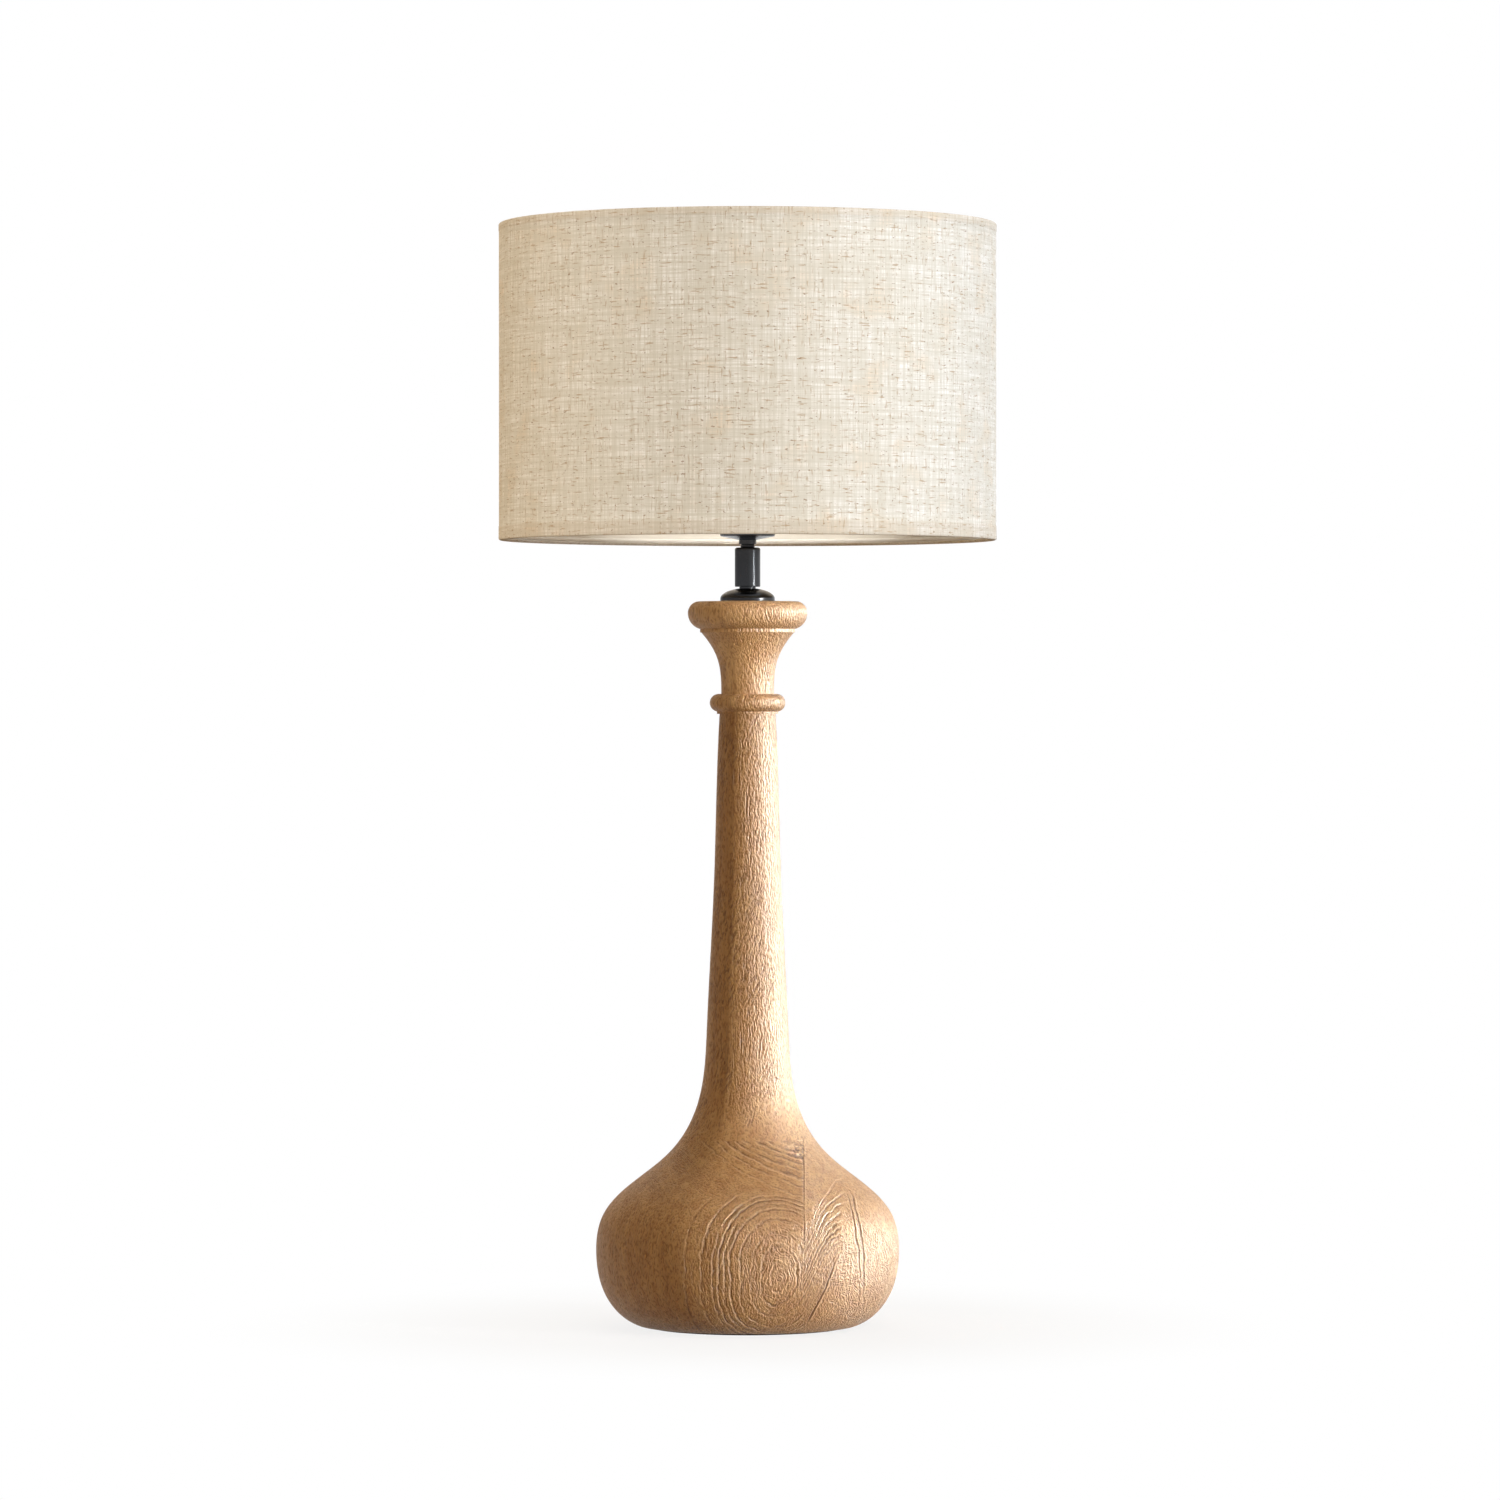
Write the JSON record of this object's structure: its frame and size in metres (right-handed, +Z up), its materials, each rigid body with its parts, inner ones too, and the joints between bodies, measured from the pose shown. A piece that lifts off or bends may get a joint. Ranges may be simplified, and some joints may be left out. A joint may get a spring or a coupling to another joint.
{
  "type": "table lamp",
  "caption": "Table lamp with a turned wood bottle-shaped stand, a dark metal stem and lampholder, and a straight linen drum shade on a wire spider.",
  "frame": {"origin": "on the tabletop, under the middle of the foot", "axes": "+Z up the lamp's axis, -Y the front, +Y the back with the cord inlet"},
  "size_m": [0.3499, 0.35, 0.775],
  "materials": {
    "felt": "pressed wool felt",
    "turned_wood": "oiled hardwood with open grain",
    "black_nickel": "black nickel plate, glossy",
    "zinc_steel": "zinc plated",
    "grommet_plastic": "moulded",
    "holder_plastic": "moulded thermoset",
    "porcelain": "glazed",
    "brass": "stamped",
    "linen": "natural linen with slubs",
    "liner": "matt sheet",
    "white_wire": "white powder coat",
    "bulb_metal": "drawn",
    "bulb_glass": "vitrite",
    "bulb_solder": "tinned",
    "bulb_white": "moulded",
    "bulb_opal": "opal diffuser"
  },
  "bodies": {
    "stand": {"felt_pad": "felt", "turned_base": "turned_wood", "turned_neck": "turned_wood", "cord_grommet": "grommet_plastic", "threaded_tube": "zinc_steel", "base_washer": "zinc_steel", "base_nut": "zinc_steel", "dome_cap": "black_nickel", "coupling_sleeve": "black_nickel", "holder_nipple": "black_nickel", "holder_cup": "black_nickel", "holder_skirt": "holder_plastic", "holder_core": "porcelain", "screw_shell": "brass", "centre_contact": "brass", "terminal_screws": "brass"},
    "ring": {"shade_ring": "holder_plastic"},
    "shade": {"shade_cover": "linen", "shade_liner": "liner", "top_ring": "white_wire", "bottom_ring": "white_wire", "spider_arms": "white_wire", "fitter_ring": "white_wire"},
    "bulb": {"bulb_tip": "bulb_solder", "bulb_insulator": "bulb_glass", "bulb_cap": "bulb_metal", "bulb_housing": "bulb_white", "bulb_globe": "bulb_opal"}
  },
  "joints": [
    {"name": "shade_swivel", "type": "hinge", "parent": "stand", "child": "shade", "pos_m": [0, 0, 0.5836], "axis": [0, 0, 1], "continuous": true},
    {"name": "shade_ring_turn", "type": "hinge", "parent": "stand", "child": "ring", "pos_m": [0, 0, 0.5888], "axis": [0, 0, 1], "range_deg": [0, 1080]},
    {"name": "bulb_lift", "type": "slide", "parent": "stand", "child": "bulb", "axis": [0, 0, 1], "range_m": [0, 0.215]}
  ]
}
